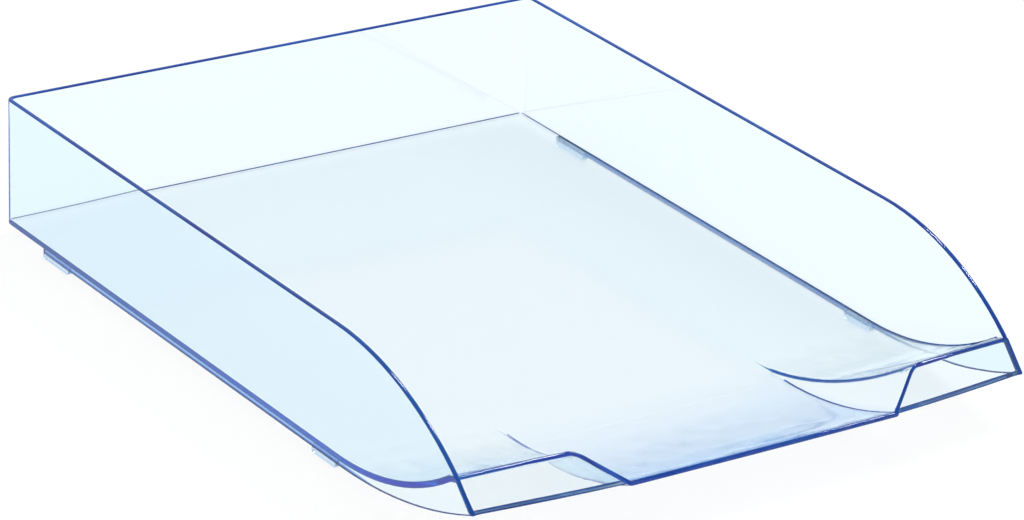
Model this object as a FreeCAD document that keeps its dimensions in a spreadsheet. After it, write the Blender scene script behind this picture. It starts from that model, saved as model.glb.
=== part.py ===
"""Letter tray in clear tinted polystyrene: one thin moulded shell standing on four clear feet.

Frame: millimetres, X to the right, Y to the back, Z up. The origin is on the desk, under the
middle of the tray. The tray opens to the front, which is -Y.
"""
import FreeCAD
import Part
import Sketcher
import os
from math import atan2, pi

# Driving sizes, in millimetres and degrees, with what each one measures.
SIZES = (
    ("tray_width", 257.0, "outside, across the rim"),
    ("tray_depth", 343.0, "back of the rim to the middle of the front edge"),
    ("rim_height", 54.5, "rim above the underside of the floor"),
    ("floor_lift", 4.0, "underside of the floor above the desk"),
    ("wall_thickness", 1.9, "walls, floor, ramps and apron alike"),
    ("draft_angle", 1.2, "lean of the walls, so that the moulding leaves its tool"),
    ("back_corner_radius", 4.2, "outside, on the two upright back corners"),
    ("front_bow", 7.7, "how far the front bulges between its corners"),
    ("front_edge_rise", 15.5, "front edge above the underside of the floor"),
    ("lip_rise", 27.5, "lips above the underside of the floor"),
    ("apron_run", 12.0, "lips behind the front edge"),
    ("rim_curve_run", 90.0, "level part of the rim to the front corner"),
    ("side_ramp_run", 88.0, "foot of the side ramps to the front edge"),
    ("middle_ramp_run", 69.0, "foot of the middle ramp to the front edge"),
    ("notch_width", 122.0, "bottom of the hand notch in the front"),
    ("notch_side_angle", 43.0, "slope of the sides of the hand notch"),
    ("notch_corner_radius", 12.0, "rounded top of the sides of the hand notch"),
    ("notch_clearance", 0.3, "that rounding above the lips, so that the lips stay whole"),
    ("skirt_drop", 2.0, "side skirts below the underside of the floor"),
    ("skirt_setback", 31.0, "back of the rim to the rear end of the skirts"),
    ("skirt_curve_run", 85.0, "level part of the skirts to the front corner"),
    ("foot_flange", 1.0, "part of a foot that is bonded inside the skirt"),
    ("foot_corner_radius", 1.5, "rounded lower ends of the feet"),
    ("rear_foot_length", 20.0, "along the skirt, from its rear end"),
    ("front_foot_length", 16.5, "along the skirt"),
    ("front_foot_gap", 3.0, "front feet to the curved part of the skirt"),
    ("bond_gap", 0.1, "glue line between a foot and the skirt"),
    ("overrun", 30.0, "how far cutting solids reach past what they cut"),
)
SHEET = "Sizes"
BOW_SWEEP_SHARE = 1.6          # turn of the front surfaces, against what the tray's width needs

doc = FreeCAD.newDocument("letter_tray")
sheet = doc.addObject("Spreadsheet::Sheet", SHEET)
for row, (alias, size, meaning) in enumerate(SIZES, start=1):
    sheet.set(f"A{row}", alias)
    sheet.set(f"B{row}", str(size))
    sheet.setAlias(f"B{row}", alias)
    sheet.set(f"C{row}", meaning)
doc.recompute()


def s(alias):
    """The expression that reads one driving size."""
    return f"{SHEET}.{alias}"


# Places that several sketches share, as expressions of the driving sizes.
HALF_WIDTH = f"{s('tray_width')} / 2"
BACK_Y = f"{s('tray_depth')} / 2"
FRONT_Y = f"-{s('tray_depth')} / 2"
CORNER_Y = f"({FRONT_Y} + {s('front_bow')})"
FAR_BACK_Y = f"({BACK_Y} + {s('overrun')})"
FAR_FRONT_Y = f"({FRONT_Y} - {s('overrun')})"
FLOOR_Z = s("floor_lift")
FLOOR_TOP_Z = f"({FLOOR_Z} + {s('wall_thickness')})"
RIM_Z = f"({FLOOR_Z} + {s('rim_height')})"
ABOVE_Z = f"({RIM_Z} + {s('overrun')})"
EDGE_Z = f"({FLOOR_Z} + {s('front_edge_rise')})"
LIP_Z = f"({FLOOR_Z} + {s('lip_rise')})"
LIP_Y = f"({FRONT_Y} + {s('apron_run')})"
SKIRT_Z = f"({FLOOR_Z} - {s('skirt_drop')})"
SKIRT_REAR_Y = f"({BACK_Y} - {s('skirt_setback')})"
SKIRT_CURVE_Y = f"({CORNER_Y} + {s('skirt_curve_run')})"
BELOW_Z = f"({SKIRT_Z} - {s('overrun')})"
SIDE_RAMP_Y = f"({FRONT_Y} + {s('side_ramp_run')})"
MIDDLE_RAMP_Y = f"({FRONT_Y} + {s('middle_ramp_run')})"
# The apron leans back by this much for each millimetre that it rises.
APRON_LEAN = f"({s('apron_run')} / ({s('lip_rise')} - {s('front_edge_rise')}))"
# The bow is an arc through both front corners and the middle of the front edge.
BOW_RADIUS = f"(({HALF_WIDTH})^2 + {s('front_bow')}^2) / (2 * {s('front_bow')})"
BOW_AXIS_Y = f"({FRONT_Y} + {BOW_RADIUS})"


def arc_radius(run, rise):
    """Radius of an arc that starts level and climbs by rise over run."""
    return f"((({run})^2 + ({rise})^2) / (2 * ({rise})))"


SIDE_RAMP_RADIUS = arc_radius(
    f"{s('side_ramp_run')} - {s('apron_run')}", f"{s('lip_rise')} - {s('wall_thickness')}")
# Measured on the underside of the middle ramp, which ends at the front edge.
MIDDLE_RAMP_RADIUS = arc_radius(s("middle_ramp_run"), s("front_edge_rise"))
MIDDLE_TOP_RADIUS = f"({MIDDLE_RAMP_RADIUS} - {s('wall_thickness')})"
# The lips stand this far above the middle ramp, where the sides of the hand notch reach them.
NOTCH_TOP_X = (f"({s('notch_width')} / 2 + ({s('lip_rise')} - {s('front_edge_rise')})"
               f" / tan({s('notch_side_angle')}))")
NOTCH_TOP_BOW = f"({s('front_bow')} * ({NOTCH_TOP_X} / ({HALF_WIDTH}))^2)"
NOTCH_TOP_RUN = f"({s('middle_ramp_run')} - {s('apron_run')} - {NOTCH_TOP_BOW})"
NOTCH_TOP_CLIMB = f"({MIDDLE_TOP_RADIUS} - sqrt({MIDDLE_TOP_RADIUS}^2 - {NOTCH_TOP_RUN}^2))"
NOTCH_HEIGHT = (f"({s('lip_rise')} - {s('wall_thickness')} - {NOTCH_TOP_CLIMB}"
                f" + {s('notch_clearance')})")


def number(owner, expression):
    """The present value of an expression, in millimetres or degrees."""
    result = owner.evalExpression(expression)
    return float(getattr(result, "Value", result))


def new_body(name):
    return doc.addObject("PartDesign::Body", name)


def new_sketch(body, name, role, offset=None):
    """A sketch on one of the body's origin planes, moved along its normal by an expression."""
    sketch = body.newObject("Sketcher::SketchObject", name)
    plane = next(f for f in body.Origin.OriginFeatures if f.Role == role)
    sketch.AttachmentSupport = [(plane, "")]
    sketch.MapMode = "FlatFace"
    if offset:
        sketch.setExpression("AttachmentOffset.Base.z", offset)
    doc.recompute()
    return sketch


def bind(sketch, kind, *where, expression):
    """Adds one dimension to a sketch and binds it to an expression."""
    index = sketch.addConstraint(Sketcher.Constraint(kind, *where, number(sketch, expression)))
    sketch.setExpression(f"Constraints[{index}]", expression)


def pin(sketch, geometry, end, x, y):
    """Places one end of a line or arc from the sketch's origin."""
    bind(sketch, "DistanceX", -1, 1, geometry, end, expression=x)
    bind(sketch, "DistanceY", -1, 1, geometry, end, expression=y)


def draw(sketch, corners, closed=True):
    """Draws an outline through corners (x, y, centre).

    A corner with centre None starts a straight side. Otherwise an arc starts there, and centre
    is the expression pair of the arc's middle.
    """
    values = [(number(sketch, x), number(sketch, y)) for x, y, _ in corners]
    count = len(corners) if closed else len(corners) - 1
    ends = []
    for i in range(count):
        j = (i + 1) % len(corners)
        start = FreeCAD.Vector(*values[i], 0)
        stop = FreeCAD.Vector(*values[j], 0)
        centre = corners[i][2]
        if centre is None:
            ends.append((sketch.addGeometry(Part.LineSegment(start, stop), False), 1, 2))
            continue
        middle = FreeCAD.Vector(number(sketch, centre[0]), number(sketch, centre[1]), 0)
        angles = [atan2(p.y - middle.y, p.x - middle.x) for p in (start, stop)]
        forward = (angles[1] - angles[0]) % (2 * pi) < pi
        if not forward:
            angles.reverse()
        circle = Part.Circle(middle, FreeCAD.Vector(0, 0, 1), (start - middle).Length)
        arc = sketch.addGeometry(Part.ArcOfCircle(circle, *angles), False)
        ends.append((arc, 1, 2) if forward else (arc, 2, 1))
    for i in range(count if closed else count - 1):
        geometry, _, stop = ends[i]
        follower, start, _ = ends[(i + 1) % count]
        sketch.addConstraint(Sketcher.Constraint("Coincident", geometry, stop, follower, start))
    for i, (geometry, start, stop) in enumerate(ends):
        pin(sketch, geometry, start, corners[i][0], corners[i][1])
        if corners[i][2]:
            bind(sketch, "DistanceX", -1, 1, geometry, 3, expression=corners[i][2][0])
    if not closed:
        geometry, _, stop = ends[-1]
        pin(sketch, geometry, stop, corners[-1][0], corners[-1][1])
    doc.recompute()


def pad(body, sketch, length, taper=None, both_ways=False, reverse=False):
    """Pads a sketch by an expression."""
    feature = body.newObject("PartDesign::Pad", f"{body.Name}_pad")
    feature.Profile = sketch
    feature.setExpression("Length", length)
    if taper:
        feature.setExpression("TaperAngle", taper)
    feature.Midplane = both_ways
    feature.Reversed = reverse
    doc.recompute()
    return feature


def combine(kind, name, first, second):
    """A boolean of two solids."""
    result = doc.addObject(f"Part::{kind}", name)
    result.Base = first
    result.Tool = second
    if kind != "Cut":
        result.Refine = False
    doc.recompute()
    return result


def plan_block(name, inset, front):
    """The tray's plan, inset from the outside of the rim, running down with the walls' draft."""
    body = new_body(name)
    sketch = new_sketch(body, f"{name}_plan", "XY_Plane", RIM_Z)
    side = f"({HALF_WIDTH} - {inset})"
    back = f"({BACK_Y} - {inset})"
    radius = f"({s('back_corner_radius')} - {inset})"
    left_centre = (f"-({side} - {radius})", f"({back} - {radius})")
    right_centre = (f"({side} - {radius})", f"({back} - {radius})")
    draw(sketch, [
        (f"-{side}", front, None),
        (side, front, None),
        (side, f"({back} - {radius})", right_centre),
        (f"({side} - {radius})", back, None),
        (f"-({side} - {radius})", back, left_centre),
        (f"-{side}", f"({back} - {radius})", None),
    ])
    depth = f"{s('rim_height')} + {s('skirt_drop')}"
    pad(body, sketch, depth, taper=f"-{s('draft_angle')}", reverse=True)
    return body


def wall_outline():
    """The walls from the side: level rim, the curve down past the lip, and skirt."""
    body = new_body("wall_outline")
    sketch = new_sketch(body, "wall_outline_side", "YZ_Plane")
    rim_curve_y = f"({CORNER_Y} + {s('rim_curve_run')})"
    rim_radius = arc_radius(f"{s('rim_curve_run')} - {s('apron_run')}",
                            f"{s('rim_height')} - {s('lip_rise')}")
    rim_end_z = f"({RIM_Z} - {rim_radius} + sqrt({rim_radius}^2 - {s('rim_curve_run')}^2))"
    skirt_radius = arc_radius(s("skirt_curve_run"), f"{s('front_edge_rise')} + {s('skirt_drop')}")
    draw(sketch, [
        (FAR_BACK_Y, RIM_Z, None),
        (rim_curve_y, RIM_Z, (rim_curve_y, f"({RIM_Z} - {rim_radius})")),
        (CORNER_Y, rim_end_z, None),
        (FAR_FRONT_Y, rim_end_z, None),
        (FAR_FRONT_Y, EDGE_Z, None),
        (CORNER_Y, EDGE_Z, (SKIRT_CURVE_Y, f"({SKIRT_Z} + {skirt_radius})")),
        (SKIRT_CURVE_Y, SKIRT_Z, None),
        (SKIRT_REAR_Y, SKIRT_Z, None),
        (SKIRT_REAR_Y, FLOOR_Z, None),
        (FAR_BACK_Y, FLOOR_Z, None),
    ])
    pad(body, sketch, f"{s('tray_width')} + {s('overrun')}", both_ways=True)
    return body


def bowed(name, drawn):
    """Turns a side outline about the upright axis of the front's bow."""
    body = new_body(name)
    sketch = new_sketch(body, f"{name}_side", "YZ_Plane")
    drawn(sketch)
    axis = sketch.addGeometry(
        Part.LineSegment(FreeCAD.Vector(number(sketch, BOW_AXIS_Y), 0, 0),
                         FreeCAD.Vector(number(sketch, BOW_AXIS_Y), number(sketch, RIM_Z), 0)), True)
    pin(sketch, axis, 1, BOW_AXIS_Y, "0")
    pin(sketch, axis, 2, BOW_AXIS_Y, RIM_Z)
    doc.recompute()
    feature = body.newObject("PartDesign::Revolution", f"{name}_turn")
    feature.Profile = sketch
    feature.ReferenceAxis = (sketch, ["Axis0"])
    turn = f"2 * asin({HALF_WIDTH} / ({BOW_AXIS_Y} - {BACK_Y})) * {BOW_SWEEP_SHARE}"
    feature.setExpression("Angle", turn)
    feature.Midplane = True
    doc.recompute()
    return body


def draw_ramp(sketch):
    """Everything under the top of the floor and of the side ramps, which run on past the lips."""
    end_z = f"({FLOOR_TOP_Z} + {SIDE_RAMP_RADIUS} - sqrt({SIDE_RAMP_RADIUS}^2 - {s('side_ramp_run')}^2))"
    draw(sketch, [
        (FAR_BACK_Y, FLOOR_Z, None),
        (FAR_BACK_Y, FLOOR_TOP_Z, None),
        (SIDE_RAMP_Y, FLOOR_TOP_Z, (SIDE_RAMP_Y, f"({FLOOR_TOP_Z} + {SIDE_RAMP_RADIUS})")),
        (FRONT_Y, end_z, None),
        (FAR_FRONT_Y, end_z, None),
        (FAR_FRONT_Y, FLOOR_Z, None),
    ])


def draw_front(sketch):
    """Everything behind the apron, whose lean runs on above the lips and below the front edge."""
    reach = s("overrun")
    draw(sketch, [
        (FAR_BACK_Y, f"({EDGE_Z} - {reach})", None),
        (FAR_BACK_Y, f"({EDGE_Z} + 2 * {reach})", None),
        (f"({FRONT_Y} + 2 * {reach} * {APRON_LEAN})", f"({EDGE_Z} + 2 * {reach})", None),
        (f"({FRONT_Y} - {reach} * {APRON_LEAN})", f"({EDGE_Z} - {reach})", None),
    ])


def draw_hollow(sketch):
    """The space under the side ramps, behind the apron, and below the front edge."""
    radius = f"({SIDE_RAMP_RADIUS} + {s('wall_thickness')})"
    centre_z = f"({FLOOR_TOP_Z} + {SIDE_RAMP_RADIUS})"
    apron_inside_y = f"({FRONT_Y} + {s('wall_thickness')} * sqrt(1 + {APRON_LEAN}^2))"
    # The apron's inside and the ramp's underside meet on this line, found by the sketch.
    near = FreeCAD.Vector(number(sketch, apron_inside_y), number(sketch, EDGE_Z), 0)
    middle = FreeCAD.Vector(number(sketch, SIDE_RAMP_Y), number(sketch, centre_z), 0)
    size = number(sketch, radius)
    lean = FreeCAD.Vector(number(sketch, APRON_LEAN), 1, 0)
    reach = near - middle
    half = reach.dot(lean) / lean.dot(lean)
    along = -half - (half ** 2 - (reach.dot(reach) - size ** 2) / lean.dot(lean)) ** 0.5
    peak = near + lean * along
    foot = FreeCAD.Vector(number(sketch, SIDE_RAMP_Y), number(sketch, FLOOR_Z), 0)
    low = number(sketch, BELOW_Z)
    far = number(sketch, FAR_FRONT_Y)
    edge = number(sketch, EDGE_Z)
    circle = Part.Circle(middle, FreeCAD.Vector(0, 0, 1), size)
    first = atan2(peak.y - middle.y, peak.x - middle.x)
    under = sketch.addGeometry(Part.ArcOfCircle(circle, first % (2 * pi), 1.5 * pi), False)
    points = [foot, FreeCAD.Vector(foot.x, low, 0), FreeCAD.Vector(far, low, 0),
              FreeCAD.Vector(far, edge, 0), near, peak]
    sides = [sketch.addGeometry(Part.LineSegment(a, b), False) for a, b in zip(points, points[1:])]
    for left, right in zip(sides, sides[1:]):
        sketch.addConstraint(Sketcher.Constraint("Coincident", left, 2, right, 1))
    sketch.addConstraint(Sketcher.Constraint("Coincident", under, 2, sides[0], 1))
    sketch.addConstraint(Sketcher.Constraint("Coincident", under, 1, sides[-1], 2))
    pin(sketch, sides[0], 1, SIDE_RAMP_Y, FLOOR_Z)
    pin(sketch, sides[0], 2, SIDE_RAMP_Y, BELOW_Z)
    pin(sketch, sides[1], 2, FAR_FRONT_Y, BELOW_Z)
    pin(sketch, sides[2], 2, FAR_FRONT_Y, EDGE_Z)
    pin(sketch, sides[3], 2, apron_inside_y, EDGE_Z)
    pin(sketch, under, 3, SIDE_RAMP_Y, centre_z)
    bind(sketch, "Angle", sides[-1], expression=f"atan(1 / {APRON_LEAN})")
    doc.recompute()


def channel(name, rise, half_width, radius, rounding):
    """The hand notch and its ramp: a flared section carried along the middle of the floor.

    The sides slope up and round over to level at the height of the lips.
    """
    body = new_body(name)
    path = new_sketch(body, f"{name}_path", "YZ_Plane")
    start_z = f"({FLOOR_Z} + {rise})"
    end_y = f"({FRONT_Y} - {s('overrun')})"
    end_z = f"({start_z} + {radius} - sqrt(({radius})^2 - ({MIDDLE_RAMP_Y} - {end_y})^2))"
    draw(path, [
        (SIDE_RAMP_Y, start_z, None),
        (MIDDLE_RAMP_Y, start_z, (MIDDLE_RAMP_Y, f"({start_z} + {radius})")),
        (end_y, end_z, None),
    ], closed=False)
    section = new_sketch(body, f"{name}_section", "XZ_Plane", f"-({SIDE_RAMP_Y})")
    angle = s("notch_side_angle")
    bend_rise = f"({NOTCH_HEIGHT} - {rounding} * (1 - cos({angle})))"
    bend_x = f"({half_width} + {bend_rise} / tan({angle}))"
    bend_z = f"({start_z} + {bend_rise})"
    level_x = f"({bend_x} + {rounding} * sin({angle}))"
    level_z = f"({start_z} + {NOTCH_HEIGHT})"
    centre_z = f"({level_z} - {rounding})"
    far_x = f"({HALF_WIDTH} + {s('overrun')})"
    top_z = f"({start_z} + {s('rim_height')})"
    draw(section, [
        (f"-{half_width}", start_z, None),
        (half_width, start_z, None),
        (bend_x, bend_z, (level_x, centre_z)),
        (level_x, level_z, None),
        (far_x, level_z, None),
        (far_x, top_z, None),
        (f"-{far_x}", top_z, None),
        (f"-{far_x}", level_z, None),
        (f"-{level_x}", level_z, (f"-{level_x}", centre_z)),
        (f"-{bend_x}", bend_z, None),
    ])
    pipe = body.newObject("PartDesign::AdditivePipe", f"{name}_pipe")
    pipe.Profile = section
    pipe.Spine = (path, [])
    pipe.Mode = "Fixed"
    doc.recompute()
    return body


def tray_shell():
    """The whole moulding: walls round three sides, floor, ramps, apron and lips."""
    outside = combine("Common", "outside", plan_block("plan", "0", FAR_FRONT_Y),
                      bowed("front", draw_front))
    inside = plan_block("inside", s("wall_thickness"), f"({FAR_FRONT_Y} - {s('overrun')})")
    walls = combine("Common", "walls", combine("Cut", "wall_band", outside, inside), wall_outline())

    half = f"({s('notch_width')} / 2)"
    wider = f"({half} + {s('wall_thickness')} * tan({s('notch_side_angle')} / 2))"
    rounding = s("notch_corner_radius")
    notch_inside = channel("notch_inside", s("wall_thickness"), half, MIDDLE_TOP_RADIUS, rounding)
    notch_outside = channel("notch_outside", "0", wider, MIDDLE_RAMP_RADIUS,
                            f"({rounding} - {s('wall_thickness')})")
    hollow = combine("Cut", "hollow", bowed("under_ramp", draw_hollow), notch_outside)
    ramp = combine("Cut", "ramp_shell", bowed("ramp", draw_ramp), hollow)
    sheet_part = combine("Cut", "ramp_and_notch", ramp, notch_inside)
    trimmed = combine("Common", "floor_and_ramps", sheet_part, outside)
    shell = combine("Fuse", "tray_shell", walls, trimmed)
    shell.Refine = True
    doc.recompute()
    return shell


def foot(name, side, length, centre_y):
    """A clear foot: a flange bonded inside the skirt, and a sole that laps under the skirt's edge."""
    body = new_body(name)
    fall = f"({s('rim_height')} + {s('skirt_drop')})"
    outer_x = f"({HALF_WIDTH} - {fall} * tan({s('draft_angle')}))"
    flange_x = f"({outer_x} - {s('wall_thickness')} - {s('bond_gap')})"
    inner_x = f"({flange_x} - {s('foot_flange')})"
    section = new_sketch(body, f"{name}_section", "XZ_Plane")
    draw(section, [
        (inner_x, "0", None),
        (outer_x, "0", None),
        (outer_x, SKIRT_Z, None),
        (flange_x, SKIRT_Z, None),
        (flange_x, FLOOR_Z, None),
        (inner_x, FLOOR_Z, None),
    ])
    block = pad(body, section, length, both_ways=True)
    ends = [f"Edge{i}" for i, edge in enumerate(block.Shape.Edges, start=1)
            if edge.BoundBox.ZMax < number(sheet, SKIRT_Z) / 2 and edge.BoundBox.YLength < edge.Length / 2]
    rounding = body.newObject("PartDesign::Fillet", f"{name}_ends")
    rounding.Base = (block, ends)
    rounding.setExpression("Radius", s("foot_corner_radius"))
    body.setExpression("Placement.Base.y", centre_y)
    if side < 0:
        body.Placement.Rotation = FreeCAD.Rotation(FreeCAD.Vector(0, 0, 1), 180)
    doc.recompute()
    return body


# Feet stand at the rear end of each skirt and just behind its front curve.
FEET = {
    "rear": (s("rear_foot_length"), f"{SKIRT_REAR_Y} - {s('rear_foot_length')} / 2"),
    "front": (s("front_foot_length"),
              f"{SKIRT_CURVE_Y} + {s('front_foot_gap')} + {s('front_foot_length')} / 2"),
}
nodes = [tray_shell()]
for place, (length, centre_y) in FEET.items():
    for hand, side in (("left", -1), ("right", 1)):
        nodes.append(foot(f"foot_{place}_{hand}", side, length, centre_y))
doc.recompute()

for item in doc.Objects:
    if "Invalid" in item.State or "Error" in item.State:
        raise RuntimeError(f"{item.Label} failed: {item.State}")
for node in nodes:
    if node.Shape.isNull() or not node.Shape.isValid():
        raise RuntimeError(f"{node.Label} has no valid shape")

os.makedirs("parts", exist_ok=True)
for node in nodes:
    node.Shape.exportStep(f"parts/{node.Label}.step")
    box = node.Shape.optimalBoundingBox(False)
    print(f"{node.Label}: {len(node.Shape.Solids)} solid, {node.Shape.Volume:.0f} mm3, "
          f"{box.XLength:.1f} x {box.YLength:.1f} x {box.ZLength:.1f}")
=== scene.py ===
"""Looks of a clear tinted letter tray, laid out as a Blender add-on and run as a script.

Metres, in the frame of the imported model: X to the right, Y to the back, Z up, desk at zero.
"""
from math import cos, radians

import bmesh
import bpy
from mathutils import Matrix, Vector


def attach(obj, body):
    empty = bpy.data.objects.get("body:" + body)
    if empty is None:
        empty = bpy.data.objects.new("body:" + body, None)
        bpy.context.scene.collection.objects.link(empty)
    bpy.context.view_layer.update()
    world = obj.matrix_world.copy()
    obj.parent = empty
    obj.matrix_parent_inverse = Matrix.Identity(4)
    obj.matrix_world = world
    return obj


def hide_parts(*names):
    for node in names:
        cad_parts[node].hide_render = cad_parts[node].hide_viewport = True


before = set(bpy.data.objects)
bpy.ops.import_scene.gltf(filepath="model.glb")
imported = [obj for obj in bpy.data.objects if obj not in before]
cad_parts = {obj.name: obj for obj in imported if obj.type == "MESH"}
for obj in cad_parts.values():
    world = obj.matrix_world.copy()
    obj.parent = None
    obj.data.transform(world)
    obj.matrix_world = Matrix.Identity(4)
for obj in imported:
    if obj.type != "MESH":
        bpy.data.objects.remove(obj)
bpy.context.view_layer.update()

MM = 0.001

bl_info = {
    "name": "Clear Letter Tray",
    "version": (1, 0, 0),
    "blender": (4, 5, 0),
    "location": "View3D > Sidebar > Letter Tray",
    "description": "Makes the moulded shell and the feet of a clear tinted letter tray, and a studio",
    "category": "Object",
}

SHELL_NODE = "tray_shell"
FOOT_NODES = ("foot_rear_left", "foot_rear_right", "foot_front_left", "foot_front_right")

# Sizes of the finish that the geometry nodes take, each named as its property is.
FINISH_INPUTS = ("Edge Angle", "Edge Depth", "Rim Share", "Corner Share", "Front Edge From",
                 "Ramps Before", "Lips Before", "Lips Outside", "Folds Beyond", "Skirt Height",
                 "Skirts Outside")
# How far a face's direction points to the side or back, or down, before it is no edge.
SIDEWAYS, BACKWARDS, DOWNWARDS = 0.5, 0.5, -0.3
# From here on a face's direction counts as straight down.
LEVEL_DOWN = -0.985
RAY_START = 0.01 * MM
ROUNDING_STEPS = 2
EDGE_SLOT = 1

POLYSTYRENE_IOR = 1.59
POLISHED_ROUGHNESS = 0.012
EDGE_ROUGHNESS = (0.03, 0.08)
EDGE_SPECULAR = 0.1
EDGE_CLEARNESS = 0.35
# A noise pattern seldom leaves this range.
NOISE_LOW, NOISE_HIGH = 0.3, 0.7
# Upright share of a face's direction: above the first it turns satin, and at the second it is level.
NEARLY_LEVEL, LEVEL = 0.9, 0.9995
SKIRT_FADE = 0.5 * MM
NOTCH_FADE = 2 * MM

# Light runs down inside a wall by many inner reflections before it leaves.
INNER_REFLECTIONS = 48
FLOOR_REACH = 9.0
FLOOR_LOW = -0.2 * MM
HORIZON_TOP = 0.35
CEILING_FROM, CEILING_TO = 0.5, 0.75
SOFT_BOXES = (("right", (0.92, 0.04, 1.06)), ("left", (0.54, 0.31, 1.08)))
SOFT_BOX_AIM = (0, -0.12, 0.05)
SENSOR_WIDTH = 36.0
FARTHEST_LOOK = 50.0


def linear(code):
    """An sRGB hex colour as linear red, green and blue."""
    parts = [int(code[i:i + 2], 16) / 255 for i in (1, 3, 5)]
    return tuple(p / 12.92 if p <= 0.04045 else ((p + 0.055) / 1.055) ** 2.4 for p in parts)


def add_node(tree, kind, inputs=None, **settings):
    """Adds a node, applies its settings, and links or sets its inputs."""
    node = tree.nodes.new(kind)
    for name, value in settings.items():
        setattr(node, name, value)
    for socket, value in (inputs or {}).items():
        if isinstance(value, bpy.types.NodeSocket):
            tree.links.new(value, node.inputs[socket])
        else:
            node.inputs[socket].default_value = value
    return node


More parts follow.
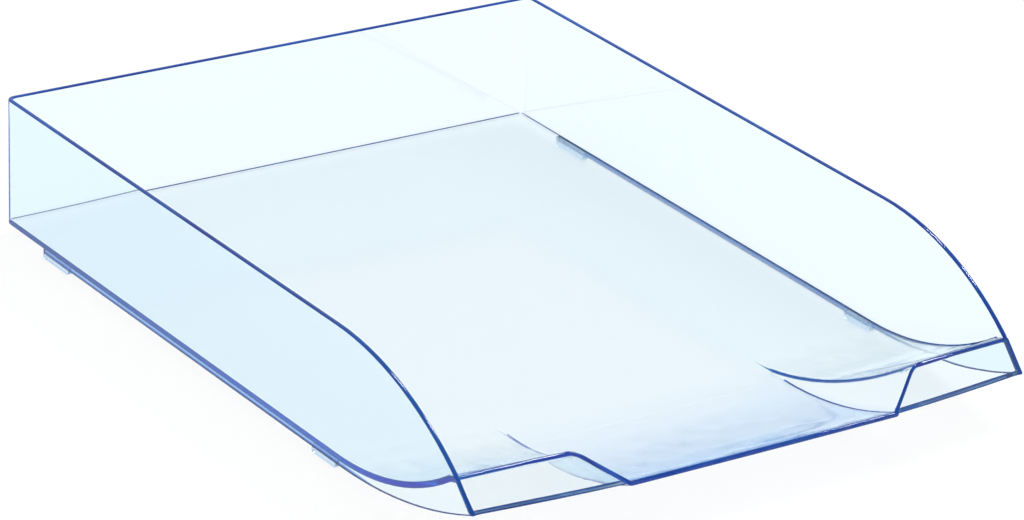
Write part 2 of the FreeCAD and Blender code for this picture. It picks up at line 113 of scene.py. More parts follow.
class TrayFinish(bpy.types.PropertyGroup):
    """Edges, surface and tint of the moulded parts."""

    weld_distance: bpy.props.FloatProperty(
        name="Weld Distance", description="Corners closer than this become one, and thinner faces go",
        default=0.05 * MM, precision=6, subtype="DISTANCE", unit="LENGTH")
    edge_angle: bpy.props.FloatProperty(
        name="Edge Angle", description="Edges sharper than this are rounded",
        default=radians(28), subtype="ANGLE", unit="ROTATION")
    blend_angle: bpy.props.FloatProperty(
        name="Blend Angle", description="Faces that turn by less than this are shaded as one",
        default=radians(40), subtype="ANGLE", unit="ROTATION")
    edge_radius: bpy.props.FloatProperty(
        name="Edge Radius", description="Rounding of the lips",
        default=1.0 * MM, precision=6, subtype="DISTANCE", unit="LENGTH")
    rim_share: bpy.props.FloatProperty(
        name="Rim Share", description="How much of it the rims, wall ends and other folds get",
        default=0.6, min=0, max=1, subtype="FACTOR")
    corner_share: bpy.props.FloatProperty(
        name="Corner Share", description="How much of it the inner corners get",
        default=0.3, min=0, max=1, subtype="FACTOR")
    edge_depth: bpy.props.FloatProperty(
        name="Edge Depth", description="A face with more plastic behind it than this is a wall's edge",
        default=2.4 * MM, precision=6, subtype="DISTANCE", unit="LENGTH")
    front_edge_from: bpy.props.FloatProperty(
        name="Front Edge From", description="Above this height, a face that looks down is the front edge",
        default=9 * MM, precision=6, subtype="DISTANCE", unit="LENGTH")
    ramps_before: bpy.props.FloatProperty(
        name="Ramps Before", description="Where the ramps and the rising skirts begin, along the depth",
        default=-80 * MM, precision=6, subtype="DISTANCE", unit="LENGTH")
    lips_before: bpy.props.FloatProperty(
        name="Lips Before", description="Only folds in front of this place get the full rounding",
        default=-150 * MM, precision=6, subtype="DISTANCE", unit="LENGTH")
    lips_outside: bpy.props.FloatProperty(
        name="Lips Outside", description="And of these only folds farther from the middle than this",
        default=79 * MM, precision=6, subtype="DISTANCE", unit="LENGTH")
    folds_beyond: bpy.props.FloatProperty(
        name="Folds Beyond", description="Nearer the centre than this, the notch's folds stay sharp",
        default=93 * MM, precision=6, subtype="DISTANCE", unit="LENGTH")
    foot_edge_share: bpy.props.FloatProperty(
        name="Foot Edge Share", description="How much of the edge radius the feet get",
        default=0.25, min=0, max=1, subtype="FACTOR")
    tint: bpy.props.FloatVectorProperty(
        name="Tint", description="Light that a long way through the shell leaves",
        default=linear("#30cffa"), size=3, subtype="COLOR", min=0, max=1)
    tint_density: bpy.props.FloatProperty(
        name="Tint Density", description="Strength of the shell's tint, for each metre",
        default=62.0, min=0)
    # Painted glow: the skin emits this colour faintly. It stands in for light that scatter in the plastic
    # sends into the walls.
    painted_haze_glow: bpy.props.FloatVectorProperty(
        name="Haze", description="Light that the plastic's haze turns into the walls",
        default=linear("#66ffff"), size=3, subtype="COLOR", min=0, max=1)
    painted_haze_glow_strength: bpy.props.FloatProperty(
        name="Haze Strength", description="How much of it each face adds", default=0.008, min=0)
    edge_deep: bpy.props.FloatVectorProperty(
        name="Deep Edge", description="Edge colour where the light had the longest way",
        default=linear("#002f88"), size=3, subtype="COLOR", min=0, max=1)
    edge_pale: bpy.props.FloatVectorProperty(
        name="Pale Edge", description="Edge colour where the light had the shortest way",
        default=linear("#1258a6"), size=3, subtype="COLOR", min=0, max=1)
    # Painted glow: the skirts are tinted bluer. This stands in for the light from the floor's own edge
    # that shines out through them.
    skirt_painted_glow: bpy.props.FloatVectorProperty(
        name="Skirt Tint", description="Colour of the low skirts, where the floor's own edge shines in",
        default=linear("#4f8ae0"), size=3, subtype="COLOR", min=0, max=1)
    skirt_height: bpy.props.FloatProperty(
        name="Skirt Height", description="Height of the skirts' upper end above the desk",
        default=3.9 * MM, precision=6, subtype="DISTANCE", unit="LENGTH")
    skirts_outside: bpy.props.FloatProperty(
        name="Skirts Outside", description="How far the skirts are from the middle",
        default=124 * MM, precision=6, subtype="DISTANCE", unit="LENGTH")
    # Painted shade: the notch's ramp is tinted lavender towards its front edge. This stands in for the
    # tray's shadow on the desk, seen through the ramp.
    notch_painted_shade: bpy.props.FloatVectorProperty(
        name="Notch Tint", description="Colour that the notch's ramp takes on towards its edge",
        default=linear("#e2ebfe"), size=3, subtype="COLOR", min=0, max=1)
    notch_half_width: bpy.props.FloatProperty(
        name="Notch Half Width", description="Half the width of the notch's ramp",
        default=62 * MM, precision=6, subtype="DISTANCE", unit="LENGTH")
    notch_start: bpy.props.FloatProperty(
        name="Notch Start", description="Where the notch's ramp leaves the floor, along the depth",
        default=-80 * MM, precision=6, subtype="DISTANCE", unit="LENGTH")
    notch_end: bpy.props.FloatProperty(
        name="Notch End", description="Where the notch's ramp ends, along the depth",
        default=-165 * MM, precision=6, subtype="DISTANCE", unit="LENGTH")
    floor_haze: bpy.props.FloatProperty(
        name="Floor Haze", description="Roughness of the tray's finely grained floor",
        default=0.12, min=0, max=1, subtype="FACTOR")
    foot_tint: bpy.props.FloatVectorProperty(
        name="Foot Tint", description="Light that a long way through a foot leaves",
        default=linear("#c4ecff"), size=3, subtype="COLOR", min=0, max=1)
    foot_tint_density: bpy.props.FloatProperty(
        name="Foot Tint Density", description="Strength of the feet's tint, for each metre",
        default=40.0, min=0)
    # Painted glow, as on the skirts: the feet are tinted bluer below the skirts' upper end.
    foot_low_painted_glow: bpy.props.FloatVectorProperty(
        name="Foot Low Tint", description="Colour of the feet below the skirts' upper end",
        default=linear("#dbe9fc"), size=3, subtype="COLOR", min=0, max=1)
    ripple_length: bpy.props.FloatProperty(
        name="Ripple Length", description="Size of the slow waves that the melt leaves in a face",
        default=38 * MM, subtype="DISTANCE", unit="LENGTH")
    ripple_height: bpy.props.FloatProperty(
        name="Ripple Height", description="Height of those waves",
        default=0.01 * MM, precision=6, subtype="DISTANCE", unit="LENGTH")


class TrayStage(bpy.types.PropertyGroup):
    """Camera, floor and lights."""

    camera_place: bpy.props.FloatVectorProperty(
        name="Camera Place", description="Where the camera stands",
        default=(-1.06922, -1.47148, 0.82771), size=3, subtype="TRANSLATION", unit="LENGTH")
    camera_turn: bpy.props.FloatVectorProperty(
        name="Camera Turn", description="Camera's elevation, roll and azimuth",
        default=(radians(23.717), radians(3.529), radians(-36.072)), size=3, subtype="EULER")
    camera_lens: bpy.props.FloatProperty(
        name="Camera Lens", description="Focal length in millimetres, on a sensor 36 mm wide",
        default=178.33, min=1)
    floor_colour: bpy.props.FloatVectorProperty(
        name="Floor Colour", description="Colour of the floor and of what is far away",
        default=linear("#ffffff"), size=3, subtype="COLOR", min=0, max=1)
    floor_glow_share: bpy.props.FloatProperty(
        name="Floor Glow Share", description="How much of the floor's white stays in the shadow",
        default=0.88, min=0, max=1, subtype="FACTOR")
    sky_strength: bpy.props.FloatProperty(
        name="Sky Strength", description="Soft light from all round", default=0.97, min=0)
    horizon_share: bpy.props.FloatProperty(
        name="Horizon Share", description="How much of that light is left low down, behind the table",
        default=0.85, min=0, max=1, subtype="FACTOR")
    ceiling_share: bpy.props.FloatProperty(
        name="Ceiling Share", description="How much of the white the plastic mirrors from high up",
        default=0.55, min=0, max=1, subtype="FACTOR")
    box_power: bpy.props.FloatProperty(
        name="Box Power", description="Power of each of the two soft boxes",
        default=5.0, min=0, unit="POWER")
    box_size: bpy.props.FloatProperty(
        name="Box Size", description="Width of each soft box", default=0.16, subtype="DISTANCE",
        unit="LENGTH")


def polystyrene(name, tint, density, low_painted_glow, finish):
    """Clear polystyrene, injection moulded in a polished tool.

    It shows the desk through a glossy skin. A look through a wall passes under three millimetres
    and stays pale. A look that is caught between the faces of a wall passes many millimetres, and
    the faint painted glow that the skin emits at each face turns it deep blue. That glow stands in
    for light that scatter in the plastic sends into the walls. Low down the skin takes a painted
    glow, and on the notch's ramp a painted shade.
    """
    material = bpy.data.materials.new(name)
    material.use_nodes = True
    tree = material.node_tree
    tree.nodes.clear()
    place = add_node(tree, "ShaderNodeTexCoord").outputs["Object"]
    ripple = add_node(tree, "ShaderNodeTexNoise", {
        "Vector": place, "Scale": 1 / finish.ripple_length, "Detail": 1.0, "Roughness": 0.4})
    relief = add_node(tree, "ShaderNodeBump", {
        "Height": ripple.outputs["Fac"], "Strength": 1.0, "Distance": finish.ripple_height})
    polish = add_node(tree, "ShaderNodeMapRange", {
        "Value": ripple.outputs["Fac"], "From Min": NOISE_LOW, "From Max": NOISE_HIGH,
        "To Min": 0.0, "To Max": POLISHED_ROUGHNESS})
    # Painted glow: low down the plastic is tinted bluer than in the walls. This stands in for the light
    # from inside the floor that comes out there.
    spot = add_node(tree, "ShaderNodeSeparateXYZ", {"Vector": place})
    painted_low_glow_mask = add_node(tree, "ShaderNodeMapRange", {
        "Value": spot.outputs["Z"], "From Min": finish.skirt_height,
        "From Max": finish.skirt_height - SKIRT_FADE}, interpolation_type="SMOOTHSTEP")
    # Painted shade: towards the front of the notch's ramp the plastic is tinted lavender. This stands in
    # for the tray's shadow on the desk, seen through the ramp.
    along = add_node(tree, "ShaderNodeMapRange", {
        "Value": spot.outputs["Y"], "From Min": finish.notch_start,
        "From Max": finish.notch_end}, interpolation_type="SMOOTHSTEP")
    aside = add_node(tree, "ShaderNodeMath", {0: spot.outputs["X"]}, operation="ABSOLUTE")
    within = add_node(tree, "ShaderNodeMapRange", {
        "Value": aside.outputs[0], "From Min": finish.notch_half_width + NOTCH_FADE,
        "From Max": finish.notch_half_width - NOTCH_FADE}, interpolation_type="SMOOTHSTEP")
    notch = add_node(tree, "ShaderNodeMath", {
        0: along.outputs["Result"], 1: within.outputs["Result"]}, operation="MULTIPLY")
    clear = add_node(tree, "ShaderNodeMix", {
        0: notch.outputs[0], 6: (1, 1, 1, 1), 7: (*finish.notch_painted_shade, 1)}, data_type="RGBA")
    # The skin's colour mixes the painted shade on the notch's ramp with the painted glow low down.
    painted_glow_and_shade = add_node(tree, "ShaderNodeMix", {
        0: painted_low_glow_mask.outputs["Result"], 6: clear.outputs[2], 7: (*low_painted_glow, 1)}, data_type="RGBA")
    # Only the level floor is grained: there the skin points straight up or down.
    slope = add_node(tree, "ShaderNodeSeparateXYZ", {
        "Vector": add_node(tree, "ShaderNodeTexCoord").outputs["Normal"]})
    upright = add_node(tree, "ShaderNodeMath", {0: slope.outputs["Z"]}, operation="ABSOLUTE")
    grain = add_node(tree, "ShaderNodeMapRange", {
        "Value": upright.outputs[0], "From Min": NEARLY_LEVEL, "From Max": LEVEL,
        "To Min": polish.outputs["Result"], "To Max": finish.floor_haze})
    # The skin's faint emission is a painted glow. It stands in for light that scatter in the plastic
    # sends into the walls.
    skin = add_node(tree, "ShaderNodeBsdfPrincipled", {
        "Base Color": painted_glow_and_shade.outputs[2], "Roughness": grain.outputs["Result"],
        "IOR": POLYSTYRENE_IOR, "Transmission Weight": 1.0, "Emission Color": (*finish.painted_haze_glow, 1),
        "Emission Strength": finish.painted_haze_glow_strength, "Normal": relief.outputs["Normal"]})
    body = add_node(tree, "ShaderNodeVolumeAbsorption", {"Color": (*tint, 1), "Density": density})
    add_node(tree, "ShaderNodeOutputMaterial", {
        "Surface": skin.outputs["BSDF"], "Volume": body.outputs["Volume"]})
    return material


def lit_edge(name, finish):
    """Clear polystyrene seen into its edge, where the light that runs inside the walls comes out.

    That light has come a long way through the tint, so the narrow faces look solid and deep blue.
    It comes and goes along an edge, and the face is glossy with a slight drag from the tool.
    """
    material = bpy.data.materials.new(name)
    material.use_nodes = True
    tree = material.node_tree
    tree.nodes.clear()
    place = add_node(tree, "ShaderNodeTexCoord").outputs["Object"]
    run = add_node(tree, "ShaderNodeTexNoise", {
        "Vector": place, "Scale": 1 / finish.ripple_length, "Detail": 2.0, "Roughness": 0.5})
    depth = add_node(tree, "ShaderNodeMapRange", {
        "Value": run.outputs["Fac"], "From Min": NOISE_LOW, "From Max": NOISE_HIGH})
    colour = add_node(tree, "ShaderNodeMix", {
        0: depth.outputs["Result"], 6: (*finish.edge_deep, 1), 7: (*finish.edge_pale, 1)},
        data_type="RGBA")
    polish = add_node(tree, "ShaderNodeMapRange", {
        "Value": run.outputs["Fac"], "From Min": NOISE_LOW, "From Max": NOISE_HIGH,
        "To Min": EDGE_ROUGHNESS[0], "To Max": EDGE_ROUGHNESS[1]})
    skin = add_node(tree, "ShaderNodeBsdfPrincipled", {
        "Base Color": colour.outputs[2], "Roughness": polish.outputs["Result"],
        "IOR": POLYSTYRENE_IOR, "Specular IOR Level": EDGE_SPECULAR,
        "Transmission Weight": EDGE_CLEARNESS})
    body = add_node(tree, "ShaderNodeVolumeAbsorption", {
        "Color": (*finish.tint, 1), "Density": finish.tint_density})
    add_node(tree, "ShaderNodeOutputMaterial", {
        "Surface": skin.outputs["BSDF"], "Volume": body.outputs["Volume"]})
    return material


def finish_tree():
    """Nodes that find the edges of a moulding's walls, and dress its skin and those edges."""
    tree = bpy.data.node_groups.new("moulded_skin", "GeometryNodeTree")
    face = tree.interface
    face.new_socket("Geometry", in_out="INPUT", socket_type="NodeSocketGeometry")
    for name in FINISH_INPUTS:
        face.new_socket(name, in_out="INPUT", socket_type="NodeSocketFloat")
    for name in ("Material", "Edge Material"):
        face.new_socket(name, in_out="INPUT", socket_type="NodeSocketMaterial")
    face.new_socket("Geometry", in_out="OUTPUT", socket_type="NodeSocketGeometry")
    given = add_node(tree, "NodeGroupInput").outputs

    # A look straight into a face of a wall leaves soon, and one into an edge goes on and on.
    place = add_node(tree, "GeometryNodeInputPosition").outputs["Position"]
    out = add_node(tree, "GeometryNodeInputNormal").outputs["True Normal"]
    into = add_node(tree, "ShaderNodeVectorMath", {0: out, "Scale": -1.0}, operation="SCALE")
    under = add_node(tree, "ShaderNodeVectorMath", {
        0: into.outputs[0], 1: (RAY_START, RAY_START, RAY_START), 2: place}, operation="MULTIPLY_ADD")
    look = add_node(tree, "GeometryNodeRaycast", {
        "Target Geometry": given["Geometry"], "Source Position": under.outputs[0],
        "Ray Direction": into.outputs[0], "Ray Length": given["Edge Depth"]})
    deep = add_node(tree, "FunctionNodeBooleanMath", {0: look.outputs["Is Hit"]}, operation="NOT")
    # The rims, skirts and wall ends face up, down or forward, and no side face counts as an edge.
    side = add_node(tree, "ShaderNodeSeparateXYZ", {"Vector": out})
    across = add_node(tree, "ShaderNodeMath", {0: side.outputs["X"]}, operation="ABSOLUTE")
    level = add_node(tree, "FunctionNodeCompare", {
        0: across.outputs[0], 1: SIDEWAYS}, operation="LESS_THAN")
    ahead = add_node(tree, "FunctionNodeCompare", {
        0: side.outputs["Y"], 1: BACKWARDS}, operation="LESS_THAN")
    open_way = add_node(tree, "FunctionNodeBooleanMath", {
        0: level.outputs["Result"], 1: ahead.outputs["Result"]}, operation="AND")
    # The undersides of the floor and ramps run out below walls and lips, and are no edges.
    spot = add_node(tree, "ShaderNodeSeparateXYZ", {"Vector": place})
    under_way = add_node(tree, "FunctionNodeCompare", {
        0: side.outputs["Z"], 1: DOWNWARDS}, operation="LESS_THAN")
    aside = add_node(tree, "ShaderNodeMath", {0: spot.outputs["X"]}, operation="ABSOLUTE")
    inside = add_node(tree, "FunctionNodeCompare", {
        0: aside.outputs[0], 1: given["Skirts Outside"]}, operation="LESS_THAN")
    behind = add_node(tree, "FunctionNodeCompare", {
        0: spot.outputs["Y"], 1: given["Ramps Before"]}, operation="GREATER_THAN")
    raised = add_node(tree, "FunctionNodeCompare", {
        0: spot.outputs["Z"], 1: given["Skirt Height"]}, operation="GREATER_THAN")
    level_end = add_node(tree, "FunctionNodeBooleanMath", {
        0: behind.outputs["Result"], 1: raised.outputs["Result"]}, operation="AND")
    skirtless = add_node(tree, "FunctionNodeBooleanMath", {
        0: inside.outputs["Result"], 1: level_end.outputs[0]}, operation="OR")
    below = add_node(tree, "FunctionNodeBooleanMath", {
        0: under_way.outputs["Result"], 1: skirtless.outputs[0]}, operation="AND")
    free = add_node(tree, "FunctionNodeBooleanMath", {
        0: open_way.outputs[0], 1: below.outputs[0]}, operation="NIMPLY")
    inner = add_node(tree, "FunctionNodeBooleanMath", {
        0: deep.outputs[0], 1: free.outputs[0]}, operation="AND")

    # The front edge is cut level under a leaning apron, high above the floor.
    down = add_node(tree, "FunctionNodeCompare", {
        0: side.outputs["Z"], 1: LEVEL_DOWN}, operation="LESS_THAN")
    high = add_node(tree, "FunctionNodeCompare", {
        0: spot.outputs["Z"], 1: given["Front Edge From"]}, operation="GREATER_THAN")
    front = add_node(tree, "FunctionNodeBooleanMath", {
        0: high.outputs["Result"], 1: down.outputs["Result"]}, operation="AND")
    edge = add_node(tree, "FunctionNodeBooleanMath", {
        0: inner.outputs[0], 1: front.outputs[0]}, operation="OR")
    upper = add_node(tree, "FunctionNodeBooleanMath", {
        0: under_way.outputs["Result"]}, operation="NOT")
    kept = given["Geometry"]
    found = {}
    for name, value in (("edge_face", edge), ("upper_face", upper)):
        kept = add_node(tree, "GeometryNodeStoreNamedAttribute", {
            "Geometry": kept, "Name": name, "Value": value.outputs[0]},
            data_type="BOOLEAN", domain="FACE").outputs["Geometry"]
        found[name] = add_node(tree, "GeometryNodeInputNamedAttribute", {"Name": name},
                               data_type="BOOLEAN").outputs["Attribute"]

    smooth = add_node(tree, "GeometryNodeSetShadeSmooth", {
        "Geometry": kept, "Shade Smooth": True}, domain="FACE")
    turn = add_node(tree, "GeometryNodeInputMeshEdgeAngle")
    sharp = add_node(tree, "FunctionNodeCompare", {
        0: turn.outputs["Unsigned Angle"], 1: given["Edge Angle"]}, operation="GREATER_THAN")
    parted = add_node(tree, "GeometryNodeSetShadeSmooth", {
        "Geometry": smooth.outputs["Geometry"], "Selection": sharp.outputs["Result"],
        "Shade Smooth": False}, domain="EDGE")
    # The lips get the full rounding, other outer edges less, inner corners the least, and the
    # corners below the floor and ramps none.
    outer = add_node(tree, "FunctionNodeCompare", {
        0: turn.outputs["Signed Angle"], 1: 0.0}, operation="GREATER_THAN")
    lipless = add_node(tree, "FunctionNodeCompare", {
        0: spot.outputs["Y"], 1: given["Lips Before"]}, operation="GREATER_THAN")
    notched = add_node(tree, "FunctionNodeCompare", {
        0: aside.outputs[0], 1: given["Lips Outside"]}, operation="LESS_THAN")
    elsewhere = add_node(tree, "FunctionNodeBooleanMath", {
        0: lipless.outputs["Result"], 1: notched.outputs["Result"]}, operation="OR")
    plain = add_node(tree, "FunctionNodeBooleanMath", {
        0: found["edge_face"], 1: elsewhere.outputs[0]}, operation="OR")
    crest = add_node(tree, "GeometryNodeSwitch", {
        "Switch": plain.outputs[0], "False": 1.0, "True": given["Rim Share"]}, input_type="FLOAT")
    corner = add_node(tree, "GeometryNodeSwitch", {
        "Switch": found["upper_face"], "False": 0.0, "True": given["Corner Share"]},
        input_type="FLOAT")
    share = add_node(tree, "GeometryNodeSwitch", {
        "Switch": outer.outputs["Result"], "False": corner.outputs[0], "True": crest.outputs[0]},
        input_type="FLOAT")
    # A fold stays sharp where the faces beside it are too narrow for its rounding, and where the
    # notch begins.
    room = add_node(tree, "GeometryNodeInputNamedAttribute", {"Name": "room"}, data_type="FLOAT")
    roomy = add_node(tree, "FunctionNodeCompare", {
        0: room.outputs["Attribute"], 1: share.outputs[0]}, operation="GREATER_THAN")
    away = add_node(tree, "ShaderNodeMath", {0: spot.outputs["Y"]}, operation="ABSOLUTE")
    near = add_node(tree, "FunctionNodeCompare", {
        0: away.outputs[0], 1: given["Folds Beyond"]}, operation="LESS_THAN")
    starting = add_node(tree, "FunctionNodeBooleanMath", {
        0: near.outputs["Result"], 1: notched.outputs["Result"]}, operation="AND")
    begun = add_node(tree, "FunctionNodeBooleanMath", {
        0: roomy.outputs["Result"], 1: starting.outputs[0]}, operation="NIMPLY")
    fitting = add_node(tree, "FunctionNodeBooleanMath", {
        0: sharp.outputs["Result"], 1: begun.outputs[0]}, operation="AND")
    round_by = add_node(tree, "GeometryNodeSwitch", {
        "Switch": fitting.outputs[0], "False": 0.0, "True": share.outputs[0]}, input_type="FLOAT")
    weighed = add_node(tree, "GeometryNodeStoreNamedAttribute", {
        "Geometry": parted.outputs["Geometry"], "Name": "bevel_weight_edge",
        "Value": round_by.outputs[0]}, data_type="FLOAT", domain="EDGE")

    real = add_node(tree, "GeometryNodeRealizeInstances", {"Geometry": weighed.outputs["Geometry"]})
    dressed = add_node(tree, "GeometryNodeSetMaterial", {
        "Geometry": real.outputs["Geometry"], "Material": given["Material"]})
    edged = add_node(tree, "GeometryNodeSetMaterial", {
        "Geometry": dressed.outputs["Geometry"], "Selection": found["edge_face"],
        "Material": given["Edge Material"]})
    add_node(tree, "NodeGroupOutput", {"Geometry": edged.outputs["Geometry"]})
    return tree


def skin_tree():
    """The one tree that all the moulded pieces share."""
    return bpy.data.node_groups.get("moulded_skin") or finish_tree()


def welded_copy(name, source, reach, radius):
    """A copy of a mesh with its corners welded, and the room for a radius beside each edge.

    Where the floor runs into the notch, the solid keeps a step of a few microns. Each face thinner
    than the weld joins the face across its longest side, so that no edge is seen there.
    """
    shape = bmesh.new()
    shape.from_mesh(source)
    bmesh.ops.remove_doubles(shape, verts=shape.verts, dist=reach)
    room = shape.edges.layers.float.new("room")
    for edge in shape.edges:
        width = min(2 * face.calc_area() / edge.calc_length() for face in edge.link_faces)
        edge[room] = width / radius
    lost = []
    for face in shape.faces:
        longest = max(face.edges, key=lambda edge: edge.calc_length())
        if 2 * face.calc_area() / longest.calc_length() < reach and longest not in lost:
            lost.append(longest)
    bmesh.ops.dissolve_edges(shape, edges=lost, use_verts=False)
    copy = bpy.data.meshes.new(name)
    shape.to_mesh(copy)
    shape.free()
    return copy


def blend_normals(mesh, reach):
    """Shades each corner by the faces around it that point nearly the same way, large ones most.

    So a flat face stays flat beside its rounded edge, and the bend of a rim has no steps.
    """
    limit = cos(reach)
    around = [[] for _ in mesh.vertices]
    for face in mesh.polygons:
        for corner in face.vertices:
            around[corner].append((face.normal.copy(), face.area))
    normals = []
    for face in mesh.polygons:
        for corner in face.vertices:
            total = sum((normal * area for normal, area in around[corner]
                         if normal.dot(face.normal) > limit), Vector())
            normals.append(total.normalized())
    mesh.normals_split_custom_set(normals)


def moulded_piece(name, node, material, edge_material, edge_share, finish):
    """A copy of a solid with welded corners and rounded edges, which stands for that solid."""
    raw = welded_copy(name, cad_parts[node].data, finish.weld_distance,
                      finish.edge_radius * edge_share)
    # The bevel can dress its faces only from slots that the mesh has before its modifiers.
    raw.materials.append(material)
    raw.materials.append(edge_material)
    piece = bpy.data.objects.new(name, raw)
    bpy.context.scene.collection.objects.link(piece)

    skin = piece.modifiers.new("skin", "NODES")
    skin.node_group = skin_tree()
    values = {name: getattr(finish, name.lower().replace(" ", "_")) for name in FINISH_INPUTS}
    values.update({"Material": material, "Edge Material": edge_material})
    for item in skin.node_group.interface.items_tree:
        if item.in_out == "INPUT" and item.name in values:
            skin[item.identifier] = values[item.name]
    edges = piece.modifiers.new("edges", "BEVEL")
    edges.limit_method = "WEIGHT"
    edges.width = finish.edge_radius * edge_share
    edges.segments = ROUNDING_STEPS
    edges.use_clamp_overlap = False
    edges.material = EDGE_SLOT

    made = piece.evaluated_get(bpy.context.evaluated_depsgraph_get())
    piece_mesh = bpy.data.meshes.new_from_object(made)
    piece.modifiers.clear()
    piece.data = piece_mesh
    bpy.data.meshes.remove(raw)
    piece_mesh.name = name
    blend_normals(piece_mesh, finish.blend_angle)
    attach(piece, "root")
    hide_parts(node)
    return piece


class LETTERTRAY_OT_shell(bpy.types.Operator):
    """Makes the tinted shell: walls, floor, ramps, lips and hand notch in one moulding."""

    bl_idname = "letter_tray.shell"
    bl_label = "Moulded Shell"

    def execute(self, context):
        finish = context.scene.tray_finish
        plastic = polystyrene("tinted_clear_polystyrene", finish.tint, finish.tint_density,
                              finish.skirt_painted_glow, finish)
        edge = lit_edge("tinted_polystyrene_edge", finish)
        moulded_piece("moulded_shell", SHELL_NODE, plastic, edge, 1.0, finish)
        return {"FINISHED"}


class LETTERTRAY_OT_feet(bpy.types.Operator):
    """Makes the four clear feet that are bonded to the skirts."""

    bl_idname = "letter_tray.feet"
    bl_label = "Clear Feet"

    def execute(self, context):
        finish = context.scene.tray_finish
        plastic = polystyrene("clear_polystyrene_feet", finish.foot_tint, finish.foot_tint_density,
                              finish.foot_low_painted_glow, finish)
        for node in FOOT_NODES:
            moulded_piece(f"clear_{node}", node, plastic, plastic, finish.foot_edge_share,
                          finish)
        return {"FINISHED"}


def seen_straight(tree):
    """One for a look from the camera, a mirroring face or through the plastic, and else nothing."""
    path = add_node(tree, "ShaderNodeLightPath").outputs
    first = add_node(tree, "ShaderNodeMath", {0: path["Is Camera Ray"], 1: path["Is Glossy Ray"]},
                     operation="MAXIMUM")
    seen = add_node(tree, "ShaderNodeMath", {0: first.outputs[0], 1: path["Is Transmission Ray"]},
                    operation="MAXIMUM")
    # A look that a dull face has scattered before is light, and not a look.
    straight = add_node(tree, "ShaderNodeMath", {0: path["Diffuse Depth"], 1: 0.5},
                        operation="LESS_THAN")
    both = add_node(tree, "ShaderNodeMath", {0: seen.outputs[0], 1: straight.outputs[0]},
                    operation="MULTIPLY")
    return both.outputs[0]


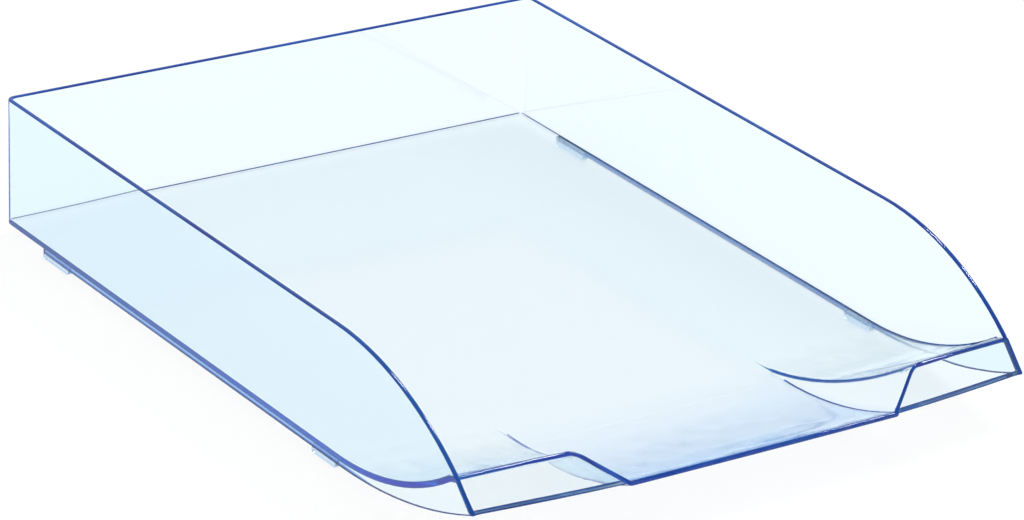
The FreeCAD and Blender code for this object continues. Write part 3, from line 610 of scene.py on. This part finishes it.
class LETTERTRAY_OT_stage(bpy.types.Operator):
    """Makes the white floor, the soft light and the camera."""

    bl_idname = "letter_tray.stage"
    bl_label = "Studio"

    def execute(self, context):
        scene = context.scene
        stage = scene.tray_stage
        scene.view_settings.view_transform = "Standard"
        for kind in ("max_bounces", "glossy_bounces", "transmission_bounces"):
            setattr(scene.cycles, kind, INNER_REFLECTIONS)
        self.make_floor(scene, stage)
        self.make_sky(scene, stage)
        self.make_boxes(scene, stage)
        self.make_camera(scene, stage)
        return {"FINISHED"}

    def make_floor(self, scene, stage):
        """A white table top that glows a little, so that it stays white and keeps the shadow."""
        mesh = bpy.data.meshes.new("floor")
        mesh.from_pydata([(x * FLOOR_REACH, y * FLOOR_REACH, FLOOR_LOW)
                          for x, y in ((-1, -1), (1, -1), (1, 1), (-1, 1))], [], [(0, 1, 2, 3)])
        floor = bpy.data.objects.new("floor", mesh)
        scene.collection.objects.link(floor)
        material = bpy.data.materials.new("white_table")
        material.use_nodes = True
        tree = material.node_tree
        tree.nodes.clear()
        colour = (*stage.floor_colour, 1)
        lit = add_node(tree, "ShaderNodeBsdfDiffuse", {"Color": colour})
        glow = add_node(tree, "ShaderNodeEmission", {"Color": colour, "Strength": 1.0})
        share = add_node(tree, "ShaderNodeMath", {0: seen_straight(tree), 1: stage.floor_glow_share},
                         operation="MULTIPLY")
        mixed = add_node(tree, "ShaderNodeMixShader", {
            "Fac": share.outputs[0], 1: lit.outputs["BSDF"], 2: glow.outputs["Emission"]})
        add_node(tree, "ShaderNodeOutputMaterial", {"Surface": mixed.outputs["Shader"]})
        mesh.materials.append(material)

    def make_sky(self, scene, stage):
        """Soft white light from all round, and white for what looks past the floor."""
        world = bpy.data.worlds.new("soft_white_room")
        world.use_nodes = True
        tree = world.node_tree
        tree.nodes.clear()
        colour = (*stage.floor_colour, 1)
        height = add_node(tree, "ShaderNodeSeparateXYZ", {
            "Vector": add_node(tree, "ShaderNodeTexCoord").outputs["Generated"]})
        rise = add_node(tree, "ShaderNodeMapRange", {
            "Value": height.outputs["Z"], "From Min": 0.0, "From Max": HORIZON_TOP,
            "To Min": stage.horizon_share, "To Max": 1.0}, interpolation_type="SMOOTHSTEP")
        level = add_node(tree, "ShaderNodeMath", {0: rise.outputs["Result"], 1: stage.sky_strength},
                         operation="MULTIPLY")
        light = add_node(tree, "ShaderNodeBackground", {"Color": colour, "Strength": level.outputs[0]})
        ceiling = add_node(tree, "ShaderNodeMapRange", {
            "Value": height.outputs["Z"], "From Min": CEILING_FROM, "From Max": CEILING_TO,
            "To Min": 1.0, "To Max": stage.ceiling_share}, interpolation_type="SMOOTHSTEP")
        mirrored = add_node(tree, "ShaderNodeMath", {
            0: rise.outputs["Result"], 1: ceiling.outputs["Result"]}, operation="MULTIPLY")
        white = add_node(tree, "ShaderNodeBackground", {
            "Color": colour, "Strength": mirrored.outputs[0]})
        mixed = add_node(tree, "ShaderNodeMixShader", {
            "Fac": seen_straight(tree), 1: light.outputs["Background"], 2: white.outputs["Background"]})
        add_node(tree, "ShaderNodeOutputWorld", {"Surface": mixed.outputs["Shader"]})
        scene.world = world

    def make_boxes(self, scene, stage):
        """Two small soft boxes, one for each rim, which mirrors it where it curves down."""
        for side, place in SOFT_BOXES:
            lamp = bpy.data.lights.new(f"soft_box_{side}", "AREA")
            lamp.shape = "SQUARE"
            lamp.size = stage.box_size
            lamp.energy = stage.box_power
            box = bpy.data.objects.new(f"soft_box_{side}", lamp)
            box.location = place
            aim = Vector(SOFT_BOX_AIM) - box.location
            box.rotation_euler = aim.to_track_quat("-Z", "Y").to_euler()
            scene.collection.objects.link(box)

    def make_camera(self, scene, stage):
        """The photograph's view, with a little roll because the picture was turned."""
        data = bpy.data.cameras.new("camera")
        data.sensor_width = SENSOR_WIDTH
        data.lens = stage.camera_lens
        data.clip_end = FARTHEST_LOOK
        camera = bpy.data.objects.new("camera", data)
        elevation, roll, azimuth = stage.camera_turn
        turn = (Matrix.Rotation(azimuth, 4, "Z") @ Matrix.Rotation(radians(90) - elevation, 4, "X")
                @ Matrix.Rotation(roll, 4, "Z"))
        camera.matrix_world = Matrix.Translation(stage.camera_place) @ turn
        scene.collection.objects.link(camera)
        scene.camera = camera


class LETTERTRAY_PT_sidebar(bpy.types.Panel):
    """Lists the tray's pieces and the studio."""

    bl_idname = "LETTERTRAY_PT_sidebar"
    bl_label = "Letter Tray"
    bl_space_type = "VIEW_3D"
    bl_region_type = "UI"
    bl_category = "Letter Tray"

    def draw(self, context):
        column = self.layout.column()
        for operator in OPERATORS:
            column.operator(operator.bl_idname)
        for group in (context.scene.tray_finish, context.scene.tray_stage):
            for name in group.__annotations__:
                column.prop(group, name)


OPERATORS = (LETTERTRAY_OT_shell, LETTERTRAY_OT_feet, LETTERTRAY_OT_stage)
CLASSES = (TrayFinish, TrayStage, *OPERATORS, LETTERTRAY_PT_sidebar)


def register():
    for item in CLASSES:
        bpy.utils.register_class(item)
    bpy.types.Scene.tray_finish = bpy.props.PointerProperty(type=TrayFinish)
    bpy.types.Scene.tray_stage = bpy.props.PointerProperty(type=TrayStage)


def unregister():
    del bpy.types.Scene.tray_stage
    del bpy.types.Scene.tray_finish
    for item in reversed(CLASSES):
        bpy.utils.unregister_class(item)


def main():
    register()
    bpy.ops.letter_tray.shell()
    bpy.ops.letter_tray.feet()
    bpy.ops.letter_tray.stage()


if __name__ == "__main__":
    main()
